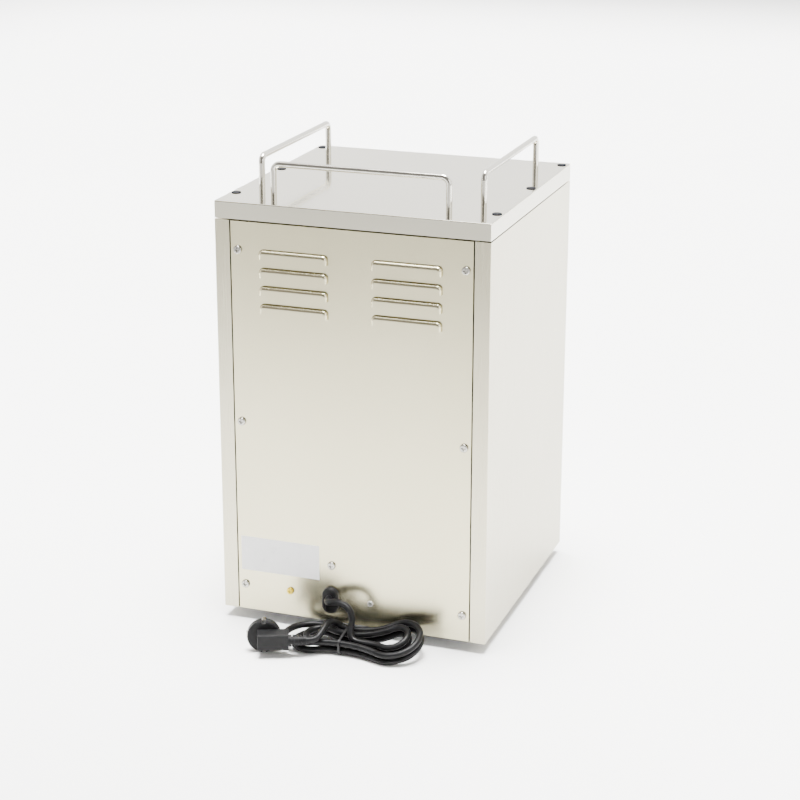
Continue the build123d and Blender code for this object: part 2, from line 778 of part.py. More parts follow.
# Control fascia: a folded panel below the door with holes for its controls
fascia_inside = half_width - 2 * sheet - fit_gap
with BuildPart() as fascia:
    block(-fascia_inside, fascia_inside, front_y, front_y + sheet, base_z, fascia_top)
    block(-fascia_inside, fascia_inside, front_y, frame_y, fascia_top - sheet, fascia_top)
    rod(knob_x, front_y - 1, control_z, spindle_diameter + 4, sheet + 2, Axis.Y, Mode.SUBTRACT)
    rod(lamp_x, front_y - 1, control_z, lamp_diameter - 2, sheet + 2, Axis.Y, Mode.SUBTRACT)
    block(switch_x - switch_width / 2 - 1, switch_x + switch_width / 2 + 1, front_y - 1, front_y + sheet + 1,
          control_z - switch_height / 2 - 1, control_z + switch_height / 2 + 1, Mode.SUBTRACT)
save(fascia, "fascia")

# Heated chamber: liner sheets, ceiling and perforated floor
with BuildPart() as chamber_liner:
    for side in (-1, 1):
        block(side * chamber_half, side * (chamber_half + liner), frame_back, liner_back_y,
              chamber_bottom - 8, chamber_top + liner)
    block(-chamber_half, chamber_half, liner_back_y - liner, liner_back_y, chamber_bottom - 8, chamber_top + liner)
    block(-chamber_half, chamber_half, frame_back, liner_back_y - liner, chamber_top, chamber_top + liner)
save(chamber_liner, "chamber_liner")

floor_front = frame_back
floor_back = liner_back_y - liner
floor_middle = (floor_front + floor_back) / 2
with BuildPart() as chamber_floor:
    block(-chamber_half, chamber_half, floor_front, floor_back, chamber_bottom - sheet, chamber_bottom)
    block(-chamber_half, chamber_half, floor_front, floor_front + sheet, chamber_bottom - 8, chamber_bottom)
    with Locations((0, floor_middle, chamber_bottom - sheet / 2)):
        with GridLocations(floor_hole_pitch, floor_hole_pitch, floor_hole_columns, floor_hole_rows):
            Cylinder(floor_hole / 2, 3 * sheet, mode=Mode.SUBTRACT)
save(chamber_floor, "chamber_floor")

# Tray under the heating element, standing on two folded legs on the base plate
with BuildPart() as element_tray:
    block(-chamber_half - liner, chamber_half + liner, frame_back, liner_back_y, tray_z, tray_z + sheet)
    for side in (-1, 1):
        leg = side * (chamber_half + liner)
        block(leg, leg - side * sheet, frame_back, liner_back_y, base_z + sheet, chamber_bottom - 8)
        block(leg, leg + side * tray_flange, frame_back, liner_back_y, base_z + sheet, base_z + 2 * sheet)
save(element_tray, "element_tray")

# Tubular heating element: two long legs with a bend, on saddles, with its ends turned to the rear
element_half = element_leg_pitch / 2
element_front = floor_middle - element_run / 2
element_rear = floor_middle + element_run / 2
with BuildPart() as heating_element:
    with BuildLine() as bent:
        FilletPolyline(
            (-element_half, element_rear, element_z),
            (-element_half, element_front, element_z),
            (element_half, element_front, element_z),
            (element_half, element_rear, element_z),
            radius=element_half - 2,
        )
    with BuildSketch(Plane(origin=(-element_half, element_rear, element_z), z_dir=(0, -1, 0))):
        Circle(element_diameter / 2)
    sweep(path=bent.line)
    for side in (-1, 1):
        rod(side * element_half, element_rear, element_z, element_diameter + 3, 8, Axis.Y)
        rod(side * element_half, element_rear + 8, element_z, 3, 7, Axis.Y)
save(heating_element, "heating_element")

with BuildPart() as element_saddles:
    for y in (element_front + 40, element_rear - 30):
        block(-element_half - 12, element_half + 12, y - 6, y + 6, tray_z + sheet, tray_z + sheet + element_saddle)
        for side in (-1, 1):
            x = side * element_half
            block(x - 5, x + 5, y - 3, y + 3, tray_z + sheet, element_z)
            rod(x, y - 4, element_z, element_diameter, 8, Axis.Y, Mode.SUBTRACT)
save(element_saddles, "element_saddles")

# Insulation slabs between the liner and the shell
with BuildPart() as insulation_sides:
    for side in (-1, 1):
        block(side * (chamber_half + liner), side * (half_width - sheet), frame_back, liner_back_y,
              chamber_bottom, chamber_top)
save(insulation_sides, "insulation_sides")
with BuildPart() as insulation_rear:
    block(-panel_half + screw_flange, panel_half - screw_flange, liner_back_y, rear_y - 2 * sheet - 6,
          chamber_bottom, chamber_top)
save(insulation_rear, "insulation_rear")
with BuildPart() as insulation_top:
    block(-chamber_half, chamber_half, frame_back, liner_back_y, chamber_top + liner, shell_top - 2 * sheet)
save(insulation_top, "insulation_top")

# Shelf runners: an angle on each side wall for each shelf
shelf_levels = [
    chamber_bottom + (level + 1) * (chamber_top - chamber_bottom) / (shelf_count + 1)
    for level in range(shelf_count)
]
with BuildPart() as shelf_runners:
    for z in shelf_levels:
        for side in (-1, 1):
            wall = side * chamber_half
            block(wall, wall - side * runner_width, frame_back + 6, liner_back_y - 8, z, z + sheet)
            block(wall, wall - side * sheet, frame_back + 6, liner_back_y - 8, z, z + runner_width)
save(shelf_runners, "shelf_runners")


# Wire shelves: one rack, a rod frame carrying wires that run from front to rear, set at three levels
rack_half = chamber_half - sheet - shelf_play - shelf_rod / 2
rack_front = frame_back + shelf_front_gap
rack_back = liner_back_y - liner - shelf_rear_gap
shelf_depth = rack_back - rack_front
with BuildPart() as wire_rack:
    for side in (-1, 1):
        rod(side * rack_half, rack_front, 0, shelf_rod, shelf_depth, Axis.Y)
    for y in (rack_front + shelf_rod / 2, rack_back - shelf_rod / 2, (rack_front + rack_back) / 2):
        rod(-rack_half, y, 0, shelf_rod, 2 * rack_half, Axis.X)
    wire_pitch = 2 * rack_half / (shelf_wires + 1)
    for wire in range(shelf_wires):
        x = -rack_half + (wire + 1) * wire_pitch
        rod(x, rack_front + 1, shelf_rod / 2 + 0.6, shelf_wire, shelf_depth - 2, Axis.Y)

for level, name in zip(shelf_levels, ("lower_shelf", "middle_shelf", "upper_shelf")):
    with BuildPart() as shelf:
        with Locations((0, 0, level + sheet + shelf_rod / 2)):
            add(wire_rack.part)
    save(shelf, name)

# Hinge plates with their pins: a short one below the door and one across the whole width above it
with BuildPart() as lower_hinge:
    plate_x = pivot_x + hinge_plate_width / 2 + 4
    block(-fascia_inside, plate_x, front_y + 1.5, frame_y, fascia_top, fascia_top + hinge_plate)
    rod(pivot_x, pivot_y, fascia_top + hinge_plate, hinge_pin, hinge_pin_length)
save(lower_hinge, "lower_hinge")

with BuildPart() as upper_hinge:
    block(-fascia_inside, fascia_inside, front_y + 1.5, frame_y, frame_top, shell_top - sheet)
    lip = half_width - side_fold_width - 1
    block(-lip, lip, front_y + 1.5, front_y + 1.5 + sheet, frame_top, shell_top)
    rod(pivot_x, pivot_y, frame_top - hinge_pin_length, hinge_pin, hinge_pin_length)
    for x, y in lid_fasteners:
        rod(x, y, frame_top - 1, small_screw + 2 * thread_gap, hinge_plate + 2, Axis.Z, Mode.SUBTRACT)
save(upper_hinge, "upper_hinge")

# Door: folded outer skin, insulation, inner skin, gasket and strike
with BuildPart() as door_skin_outer:
    block(-door_half, door_half, front_y, door_back, door_bottom, door_top)
    fillet(door_skin_outer.edges().filter_by(Axis.Z).sort_by(Axis.Y)[:2], radius=door_corner)
    offset(amount=-door_skin, openings=door_skin_outer.faces().sort_by(Axis.Y)[-1])
    for z in (door_bottom, door_top):
        rod(pivot_x, pivot_y, z - 2, hinge_pin + 2 * bushing_wall, 4, Axis.Z, Mode.SUBTRACT)
    for end in (-1, 1):
        rod(handle_x, front_y - 1, handle_z + end * handle_span / 2, handle_screw + fit_gap, 3, Axis.Y, Mode.SUBTRACT)
save(door_skin_outer, "door_skin_outer")

bushing_length = hinge_pin_length + 2
with BuildPart() as door_bushings:
    for z, down in ((door_bottom, 1), (door_top, -1)):
        low = z - washer_height if down > 0 else z - bushing_length
        rod(pivot_x, pivot_y, low, hinge_pin + 2 * bushing_wall, bushing_length + washer_height)
        rod(pivot_x, pivot_y, z if down < 0 else z - washer_height, washer_diameter, washer_height)
    for low in (door_bottom - washer_height - 1, door_top - hinge_pin_length - 1):
        rod(pivot_x, pivot_y, low, hinge_pin + 2 * pin_clearance, hinge_pin_length + washer_height + 2,
            Axis.Z, Mode.SUBTRACT)
save(door_bushings, "door_bushings")

with BuildPart() as door_skin_inner:
    block(-door_half + door_skin, door_half - door_skin, door_back - door_skin, door_back,
          door_bottom + door_skin, door_top - door_skin)
save(door_skin_inner, "door_skin_inner")

with BuildPart() as door_insulation:
    block(pivot_x + hinge_pin + bushing_wall, door_half - door_skin - 0.2, front_y + door_skin + 4,
          door_back - door_skin, door_bottom + door_skin + 0.2, door_top - door_skin - 0.2)
save(door_insulation, "door_insulation")

with BuildPart() as door_gasket:
    seal_x = chamber_half + gasket_width
    seal_low = chamber_bottom - gasket_width
    seal_high = door_top - 2
    block(-seal_x, seal_x, door_back, door_back + gasket_thickness, seal_low, seal_high)
    block(-seal_x + gasket_width, seal_x - gasket_width, door_back - 1, door_back + gasket_thickness + 1,
          seal_low + gasket_width, seal_high - gasket_width, Mode.SUBTRACT)
save(door_gasket, "door_gasket")

with BuildPart() as door_strike:
    block(catch_x - catch_width / 2, catch_x + catch_width / 2, door_back, door_back + strike_thickness,
          handle_z - strike_size / 2, handle_z + strike_size / 2)
save(door_strike, "door_strike")

with BuildPart() as door_handle:
    reach = handle_reach - handle_rod / 2
    low, high = handle_z - handle_span / 2, handle_z + handle_span / 2
    with BuildLine() as bow:
        FilletPolyline((handle_x, front_y, low), (handle_x, front_y - reach, low),
                       (handle_x, front_y - reach, high), (handle_x, front_y, high), radius=handle_bend)
    with BuildSketch(Plane(origin=(handle_x, front_y, low), z_dir=(0, -1, 0))):
        Circle(handle_rod / 2)
    sweep(path=bow.line)
    for z in (low, high):
        rod(handle_x, front_y - 12, z, handle_screw + 2 * thread_gap, 14, Axis.Y, Mode.SUBTRACT)
save(door_handle, "door_handle")

with BuildPart() as handle_screws:
    for z in (low, high):
        rod(handle_x, front_y - 11, z, handle_screw, 11 + door_skin, Axis.Y)
        rod(handle_x, front_y + door_skin, z, small_screw_head, small_screw_head_height, Axis.Y)
save(handle_screws, "handle_screws")

# Magnet catch on the front frame, reaching through to the strike
with BuildPart() as magnet_catch:
    block(catch_x - catch_width / 2, catch_x + catch_width / 2, door_back + strike_thickness + catch_play, frame_y,
          handle_z - strike_size / 2, handle_z + strike_size / 2)
save(magnet_catch, "magnet_catch")

# Thermostat: body behind the fascia, spindle and knob that turn together, sensing bulb
with BuildPart() as thermostat:
    block(knob_x - thermostat_size / 2, knob_x + thermostat_size / 2, front_y + sheet,
          front_y + sheet + thermostat_depth, control_z - thermostat_size / 2, control_z + thermostat_size / 2)
    rod(knob_x, front_y + sheet - 1, control_z, spindle_diameter + 2 * pin_clearance, 13, Axis.Y, Mode.SUBTRACT)
save(thermostat, "thermostat")

with BuildPart() as thermostat_spindle:
    rod(knob_x, front_y - knob_play - 14, control_z, spindle_diameter, knob_play + 14 + sheet + 10, Axis.Y)
save(thermostat_spindle, "thermostat_spindle")

with BuildPart() as thermostat_knob:
    base_y = front_y - knob_play
    rod(knob_x, base_y - knob_skirt, control_z, knob_diameter, knob_skirt, Axis.Y)
    rod(knob_x, base_y - knob_height, control_z, knob_diameter - 8, knob_height - knob_skirt, Axis.Y)
    fillet(thermostat_knob.edges().filter_by(GeomType.CIRCLE).group_by(Axis.Y)[0], radius=1.5)
    with BuildSketch(Plane(origin=(knob_x, base_y - knob_height, control_z), x_dir=(1, 0, 0), z_dir=(0, -1, 0))):
        with PolarLocations(knob_diameter / 4, 1, start_angle=pointer_start):
            Rectangle(knob_diameter / 4, 1.6)
    extrude(amount=-0.8, mode=Mode.SUBTRACT)
    rod(knob_x, base_y - 14, control_z, spindle_diameter, 15, Axis.Y, Mode.SUBTRACT)
save(thermostat_knob, "thermostat_knob")

with BuildPart() as knob_scale:
    ring = knob_diameter / 2
    with BuildSketch(Plane(origin=(knob_x, front_y, control_z), x_dir=(1, 0, 0), z_dir=(0, -1, 0))):
        for tick in range(10):
            angle = pointer_start - 30 * tick
            with PolarLocations(ring + 4, 1, start_angle=angle):
                Rectangle(4 if tick % 3 == 0 else 2.5, 1.0)
    extrude(amount=label_film)
save(knob_scale, "knob_scale")

with BuildPart() as thermostat_bulb:
    bulb_x = bulb_inset - chamber_half
    bulb_z = chamber_bottom - bulb_drop
    rod(bulb_x, floor_middle - bulb_length / 2, bulb_z, bulb_diameter, bulb_length, Axis.Y)
    for end in (-1, 1):
        y = floor_middle + end * (bulb_length / 2 - 2 * bulb_clip)
        block(bulb_x - bulb_diameter / 2, bulb_x + bulb_diameter / 2, y - bulb_clip / 2, y + bulb_clip / 2,
              tray_z + sheet, bulb_z)
save(thermostat_bulb, "thermostat_bulb")

# Rocker switch and indicator lamp
housing_half_x = switch_width / 2
housing_half_z = switch_height / 2
with BuildPart() as switch_housing:
    bezel = switch_bezel
    block(switch_x - housing_half_x - bezel, switch_x + housing_half_x + bezel, front_y - switch_bezel_height,
          front_y, control_z - housing_half_z - bezel, control_z + housing_half_z + bezel)
    fillet(switch_housing.edges().group_by(Axis.Y)[0], radius=0.8)
    block(switch_x - housing_half_x, switch_x + housing_half_x, front_y, front_y + switch_depth,
          control_z - housing_half_z, control_z + housing_half_z)
    block(switch_x - housing_half_x + 1.5, switch_x + housing_half_x - 1.5, front_y - switch_bezel_height - 1,
          front_y + switch_depth - 3, control_z - housing_half_z + 1, control_z + housing_half_z - 1,
          Mode.SUBTRACT)
    for side in (-1, 1):
        x = switch_x + side * (housing_half_x - 1.5)
        rod(min(x, x + side * 1.5), front_y + pivot_depth, control_z, 3.1, 1.5, Axis.X, Mode.SUBTRACT)
save(switch_housing, "switch_housing")

with BuildPart() as switch_rocker:
    rocker_half = housing_half_x - 1.5 - rocker_play
    rocker_side = Plane(origin=(switch_x - rocker_half, front_y + pivot_depth, control_z),
                        x_dir=(0, 1, 0), z_dir=(1, 0, 0))
    with BuildSketch(rocker_side):
        Polygon((3, 4), (-rocker_reach, rocker_length / 2), (1.8 - rocker_reach, 0),
                (-rocker_reach, -rocker_length / 2), (3, -4), rotation=rocker_throw / 2, align=None)
    extrude(amount=2 * rocker_half)
    rod(switch_x - housing_half_x + 0.2, front_y + pivot_depth, control_z, 3.0, switch_width - 0.4, Axis.X)
save(switch_rocker, "switch_rocker")

with BuildPart() as indicator_lamp:
    rod(lamp_x, front_y - lamp_height, control_z, lamp_diameter, lamp_height, Axis.Y)
    fillet(indicator_lamp.edges().group_by(Axis.Y)[0], radius=1.5)
    rod(lamp_x, front_y, control_z, lamp_diameter - 2 - 2 * thread_gap, 18, Axis.Y)
save(indicator_lamp, "indicator_lamp")

# Terminal block on the base plate
with BuildPart() as terminal_block:
    length, depth, height = terminal_size
    y = rear_y - terminal_from_rear
    block(terminal_x - length / 2, terminal_x + length / 2, y - depth / 2, y + depth / 2,
          base_z + sheet, base_z + sheet + height)
    for place in (-1, 0, 1):
        rod(terminal_x + place * length / 3, y, base_z + sheet + height - 6, 5, 8, Axis.Z, Mode.SUBTRACT)
save(terminal_block, "terminal_block")
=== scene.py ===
# %% [markdown]
# # A cup warmer cabinet, dressed
# This lesson puts finishes on a stainless cabinet that keeps cups warm. Its shapes come from a CAD
# model that is already exact, so what is left is light, surface and the one soft piece: the mains
# cord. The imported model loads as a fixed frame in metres. Nothing in it is moved afterwards.

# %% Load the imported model
import math

import bpy
from mathutils import Matrix, Vector


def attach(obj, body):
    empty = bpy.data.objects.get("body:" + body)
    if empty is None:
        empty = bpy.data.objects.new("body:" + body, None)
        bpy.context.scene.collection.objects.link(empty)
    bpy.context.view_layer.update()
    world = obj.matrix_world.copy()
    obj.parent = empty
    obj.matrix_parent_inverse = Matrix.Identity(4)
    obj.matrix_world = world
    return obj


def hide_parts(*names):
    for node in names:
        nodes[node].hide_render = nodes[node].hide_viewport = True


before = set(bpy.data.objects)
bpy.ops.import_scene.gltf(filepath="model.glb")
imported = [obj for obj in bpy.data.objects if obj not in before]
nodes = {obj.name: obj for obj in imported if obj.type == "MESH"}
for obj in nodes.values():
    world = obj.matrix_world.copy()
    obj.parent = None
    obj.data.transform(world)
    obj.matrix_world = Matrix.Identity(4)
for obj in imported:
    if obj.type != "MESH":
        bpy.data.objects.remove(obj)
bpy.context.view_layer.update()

# %% [markdown]
# The photograph was taken from behind and a little above, with a long lens. A camera is easiest to
# place by its own axes: where it stands, which way it looks back from, and how far it is rolled.
# The lens is given in millimetres on a 36 mm wide sensor, which the square picture fills. It comes
# from a fit of the cabinet's corners, which gives a focal length in pixels of that picture.

# %% Camera
camera_place = Vector((-0.76934, 2.18641, 1.01625))
camera_azimuth, camera_elevation, camera_roll = 199.475, 18.733, 0.096
focal_pixels, picture_pixels = 2046.92, 800

camera_data = bpy.data.cameras.new("studio_camera")
camera = bpy.data.objects.new("studio_camera", camera_data)
bpy.context.scene.collection.objects.link(camera)
azimuth, elevation = math.radians(camera_azimuth), math.radians(camera_elevation)
look_back = Vector((
    math.sin(azimuth) * math.cos(elevation),
    -math.cos(azimuth) * math.cos(elevation),
    math.sin(elevation),
))
turned = (-look_back).to_track_quat("-Z", "Y").to_matrix().to_4x4()
camera.matrix_world = (
    Matrix.Translation(camera_place) @ turned @ Matrix.Rotation(math.radians(camera_roll), 4, "Z")
)
camera_data.sensor_width = 36
camera_data.lens = focal_pixels * camera_data.sensor_width / picture_pixels
camera_data.clip_end = 20
bpy.context.scene.camera = camera
print("lens", round(camera_data.lens, 2), "mm")

# %% [markdown]
# The mains cord leaves a bushing, falls into a hank of some three and a half turns that a tie holds
# at the waist, and ends in a plug. The CAD model holds it as solid tubes. Here it becomes one smooth
# curve along the same route. The turns are too many to place by eye, so they come from a rule. Its
# sizes are in millimetres, from the waist and from both ends of the hank: where each lies behind the
# cabinet, how far its turns are tilted, and how far the loops reach and bow out.

# %% Sizes of the hank
mm = 0.001
rear_y = 175.0
cord_diameter = 7.6
hank_waist = (-10.0, 38.7, 7.8, 8.5)
hank_right = (-10.0, 32.6, 17.5, 21.8)
hank_left = (-10.0, 36.7, 4.7, 2.0)
hank_left_skew = -10.0
hank_lane, hank_inner, hank_layer = 9.7, 5.6, 8.9
hank_right_reach = (69.9, 83.8)
hank_left_reach = (50.0, 63.1, 74.9)
hank_right_bow = ((25.9, 25.9), (44.0, 44.0))
hank_left_bow = ((24.0, 24.0), (37.8, 42.0), (50.6, 40.0))
print("hank sizes for a cord of", cord_diameter, "mm")

# %% [markdown]
# A station is a place on the hank, the cord's direction there, and how far the cord bows before and
# after it. Stations stand at the waist and at the ends in turn. A lane counts from the inner turn
# outwards and a layer from the floor up, so no two turns want the same room.

# %% Stations of the hank
def across(tilt, skew=0.0):
    """Across the turns, towards the cabinet and up by the tilt."""
    t, s = math.radians(tilt), math.radians(skew)
    return Vector((math.sin(s) * math.cos(t), -math.cos(s) * math.cos(t), math.sin(t)))


def above(tilt):
    """From one layer of turns to the next."""
    return Vector((0, math.sin(math.radians(tilt)), math.cos(math.radians(tilt))))


def waist_point(side, lane, layer, shift=0.0, aside=0.0):
    """A station at the waist, on the side nearer to the cabinet (1) or further from it (-1)."""
    x, y, z, tilt = hank_waist
    off = side * (hank_inner + lane * hank_lane) + aside
    place = Vector((x + shift, rear_y + y, z)) + across(tilt) * off + above(tilt) * (layer * hank_layer)
    return place, Vector((side, 0, 0)), 0.0, 0.0


def end_point(side, lane, layer):
    """A station at the left end as seen from behind (1) or at the right end (-1)."""
    x, y, z, tilt = hank_left if side > 0 else hank_right
    reach = (hank_left_reach if side > 0 else hank_right_reach)[lane]
    bow_in, bow_out = (hank_left_bow if side > 0 else hank_right_bow)[lane]
    place = Vector((x + side * reach, rear_y + y, z)) + above(tilt) * (layer * hank_layer)
    return place, across(tilt, hank_left_skew if side > 0 else 0.0) * -side, bow_in, bow_out


stations = [
    waist_point(-1, 0, 1, shift=-28.0, aside=-1.6), end_point(-1, 0, 1),
    waist_point(1, 0, 1), end_point(1, 0, 0.98),
    waist_point(-1, 0, 0), end_point(-1, 0, 0),
    waist_point(1, 0, 0), end_point(1, 1, 0),
    waist_point(-1, 1, 0), end_point(-1, 1, 0),
    waist_point(1, 1, 0), end_point(1, 2, 0.75),
    waist_point(-1, 1, 1), end_point(-1, 1, 1),
    waist_point(1, 1, 1, shift=-3.5),
]
print(len(stations), "stations")

# %% [markdown]
# Each quarter turn is a pair of arcs that meet with one direction. A smooth spline of order three
# touches the middle of each leg of its control polygon. So an arc is followed closely by the corners
# of a polygon drawn round it, and these control points need not lie on the cord at all.

# %% Corner points of the turns
corners_each_arc = 3


def quarter_turn(start, finish):
    """The two arcs of a quarter turn, each as its start, direction and finish."""
    p0, t0, _, bow0 = start
    p1, t1, bow1, _ = finish
    gap = p1 - p0
    if bow1:
        bow0 = (gap.dot(gap) / 2 - bow1 * gap.dot(t1)) / (gap.dot(t0) + bow1 * (1 - t0.dot(t1)))
    else:
        bow1 = (gap.dot(gap) / 2 - bow0 * gap.dot(t0)) / (gap.dot(t1) + bow0 * (1 - t0.dot(t1)))
    q0, q1 = p0 + t0 * bow0, p1 - t1 * bow1
    middle = q0 + (q1 - q0) * (bow0 / (bow0 + bow1))
    return [(p0, t0, middle), (middle, (q1 - q0).normalized(), p1)]


def arc_corners(start, direction, finish, count):
    """Corners of a polygon round the arc that leaves start in a direction and ends at finish."""
    chord = finish - start
    along = chord.dot(direction)
    aside = chord - direction * along
    radius = chord.dot(chord) / (2 * aside.length)
    step = 2 * math.atan2(aside.length, along) / count
    inward = aside.normalized()
    centre = start + inward * radius
    out = radius / math.cos(step / 2)
    angles = [(i + 0.5) * step for i in range(count)]
    return [centre + direction * (out * math.sin(a)) - inward * (out * math.cos(a)) for a in angles]


hank_route = [
    corner
    for before, after in zip(stations, stations[1:])
    for arc in quarter_turn(before, after)
    for corner in arc_corners(*arc, corners_each_arc)
]
print(len(hank_route), "corner points in the hank")

# %% [markdown]
# Between the bushing and the hank the cord first stands out straight, because the bushing grips it,
# and then drops under its own weight. At the other end it climbs over one turn and runs straight
# into the plug's sleeve. Both stretches follow a few chosen points.

# %% Stretches to the bushing and the plug
def behind(x, y, z):
    """A place y millimetres behind the rear panel."""
    return Vector((x, rear_y + y, z))


straight_exit, hank_run_in, hank_run_out = 15.0, 9.0, 6.0
bushing_exit = behind(25.5, 6.0, 45.0)
hank_start, hank_end = stations[0], stations[-1]
from_bushing = [
    bushing_exit,
    bushing_exit + Vector((0, straight_exit, 0)),
    behind(9.0, 24.0, 50.5),
    behind(-6.5, 27.5, 47.0),
    behind(-12.5, 31.5, 37.0),
    behind(-13.0, 39.0, 27.5),
    behind(-15.0, 45.0, 19.8),
    hank_start[0] - hank_start[1] * (cord_diameter + hank_run_in),
]
plug_turn = math.radians(21.7)
plug_along = Vector((math.cos(plug_turn), math.sin(plug_turn), 0))
plug_out = Vector((-math.sin(plug_turn), math.cos(plug_turn), 0))
plug_centre = behind(79.0, 73.4, 19.1)
lead_outward, lead_backward, sleeve_straight = 15.0, 48.0, 10.0
lead_end = plug_centre + plug_out * lead_outward - plug_along * lead_backward
to_plug = [
    hank_end[0] + hank_end[1] * (cord_diameter + hank_run_out),
    behind(8.9, 25.4, 25.0),
    behind(14.0, 40.0, 31.7),
    behind(15.8, 57.4, 24.5),
    lead_end - plug_along * sleeve_straight,
    lead_end,
]
cord_route = [place * mm for place in [*from_bushing, *hank_route, *to_plug]]
print(len(cord_route), "points along the cord")

# %% [markdown]
# The sheath is a round tube along that route. A curve with a round bevel is the natural choice: it
# stays one piece and stays smooth however close the picture comes. Each control point carries the
# cord's radius in metres, with the bevel's own depth left at one, so that the box that is measured
# round the curve is as slim as the cord.

# %% The cord as one curve
cord_curve = bpy.data.curves.new("mains_cord_sheath", "CURVE")
cord_curve.dimensions = "3D"
spline = cord_curve.splines.new("NURBS")
spline.points.add(len(cord_route) - 1)
for point, place in zip(spline.points, cord_route):
    point.co = (*place, 1)
    point.radius = cord_diameter / 2 * mm
spline.order_u = 3
spline.use_endpoint_u = True
spline.resolution_u = 8
cord_curve.bevel_depth = 1
cord_curve.bevel_resolution = 6
cord_curve.use_fill_caps = True
cord = bpy.data.objects.new("mains_cord_sheath", cord_curve)
bpy.context.scene.collection.objects.link(cord)
print("sheath of", spline.order_u, "order,", cord_diameter, "mm thick")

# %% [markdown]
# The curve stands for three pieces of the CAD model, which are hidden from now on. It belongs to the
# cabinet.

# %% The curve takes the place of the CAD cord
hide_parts("mains_cord", "cord_hank", "plug_lead")
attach(cord, "cabinet")

# %% [markdown]
# Every finish below is a node material. Each starts the same way, with the shader that knows both
# metals and plastics. A plain number, such as how metallic a finish is, goes straight onto the
# shader. Tones and textures are linked to it afterwards.

# %% Starting a finish
def new_finish(name, color, metallic, roughness, specular=0.5, coat=0.0):
    """A material with its plain numbers set. Returns the material, its node tree and its shader."""
    finish = bpy.data.materials.new(name)
    finish.use_nodes = True
    tree = finish.node_tree
    shader = tree.nodes["Principled BSDF"]
    shader.inputs["Base Color"].default_value = (*color, 1)
    shader.inputs["Metallic"].default_value = metallic
    shader.inputs["Roughness"].default_value = roughness
    shader.inputs["Specular IOR Level"].default_value = specular
    shader.inputs["Coat Weight"].default_value = coat
    return finish, tree, shader


print("finishes can be started")

# %% [markdown]
# Real surfaces are never quite even. Noise gives them that, placed in the object's own space, so
# that it stays on the metal from any side. A small stretch value along one axis draws the noise out
# along it, which is how brushed grain is made. A second helper turns the noise into a useful range.

# %% Uneven surfaces
even_stretch = (1, 1, 1)


def stretched_noise(tree, scale, stretch=even_stretch, detail=3.0, rough=0.55):
    """Noise in the object's own space, drawn out along an axis by a small stretch value."""
    place = tree.nodes.new("ShaderNodeTexCoord")
    mapping = tree.nodes.new("ShaderNodeMapping")
    mapping.inputs["Scale"].default_value = stretch
    noise = tree.nodes.new("ShaderNodeTexNoise")
    noise.inputs["Scale"].default_value = scale
    noise.inputs["Detail"].default_value = detail
    noise.inputs["Roughness"].default_value = rough
    tree.links.new(place.outputs["Object"], mapping.inputs["Vector"])
    tree.links.new(mapping.outputs["Vector"], noise.inputs["Vector"])
    return noise.outputs["Fac"]


def between(tree, value, low, high, start=0.3, end=0.7):
    """Maps a value that runs from start to end onto the range low to high."""
    spread = tree.nodes.new("ShaderNodeMapRange")
    spread.inputs["From Min"].default_value = start
    spread.inputs["From Max"].default_value = end
    spread.inputs["To Min"].default_value = low
    spread.inputs["To Max"].default_value = high
    tree.links.new(value, spread.inputs["Value"])
    return spread.outputs["Result"]


print("noise and ranges ready")

# %% [markdown]
# Noise can do two things to a surface: tint it between two tones, and lift it by a very small
# height. The height is given in metres and is always far smaller than a form that would be seen as
# a shape. Shapes are the CAD model's work.

# %% Tones and relief
def two_tones(tree, value, shader, dark, light, start=0.3, end=0.7):
    """Colours a surface between two tones by a value."""
    ramp = tree.nodes.new("ShaderNodeValToRGB")
    ramp.color_ramp.elements[0].position = start
    ramp.color_ramp.elements[1].position = end
    ramp.color_ramp.elements[0].color = (*dark, 1)
    ramp.color_ramp.elements[1].color = (*light, 1)
    tree.links.new(value, ramp.inputs["Fac"])
    tree.links.new(ramp.outputs["Color"], shader.inputs["Base Color"])


def raised(tree, value, shader, height, strength=1.0):
    """Relief from a value, its height in metres."""
    bump = tree.nodes.new("ShaderNodeBump")
    bump.inputs["Distance"].default_value = height
    bump.inputs["Strength"].default_value = strength
    tree.links.new(value, bump.inputs["Height"])
    tree.links.new(bump.outputs["Normal"], shader.inputs["Normal"])


print("tones and relief ready")

# %% [markdown]
# A finish is put on a CAD node by giving it to the node's mesh in place of the plain material that
# it was loaded with. Pieces of one material share one finish, as they would come from one shop.

# %% Dressing the CAD pieces
def dress(finish, *names):
    """Gives CAD nodes a finish, as the only material of their mesh."""
    for name in names:
        mesh = nodes[name].data
        mesh.materials.clear()
        mesh.materials.append(finish)
    print(finish.name, "on", ", ".join(names))


print(len(nodes), "nodes to dress")

# %% [markdown]
# The sheets are stainless steel with a satin finish. Real sheet is rolled and lightly brushed, so
# it mirrors what stands before it, blurred, with hair-fine lines along the grain. A metal shader
# with a warm grey does the mirror. The lines are noise drawn out along the height, which varies
# the roughness and lifts the surface by a few thousandths of a millimetre. Broad soft noise tints
# it, as rolling and handling do.

# %% Satin sheet
upright_grain = (1, 1, 0.01)
level_grain = (0.01, 1, 1)
cloud_scale, hair_scale = 3.0, 900.0
hair_height, hair_strength = 0.004 * mm, 0.06


def satin_sheet(name, dark, light, roughness, grain, spread=0.05):
    """Brushed sheet: its roughness varies by the spread to both sides."""
    finish, tree, shader = new_finish(name, light, 1.0, roughness)
    cloud = stretched_noise(tree, cloud_scale, detail=2.0)
    two_tones(tree, cloud, shader, dark, light)
    hair = stretched_noise(tree, hair_scale, grain, detail=2.0, rough=0.6)
    smoothness = between(tree, hair, roughness - spread, roughness + spread)
    tree.links.new(smoothness, shader.inputs["Roughness"])
    raised(tree, hair, shader, hair_height, hair_strength)
    return finish


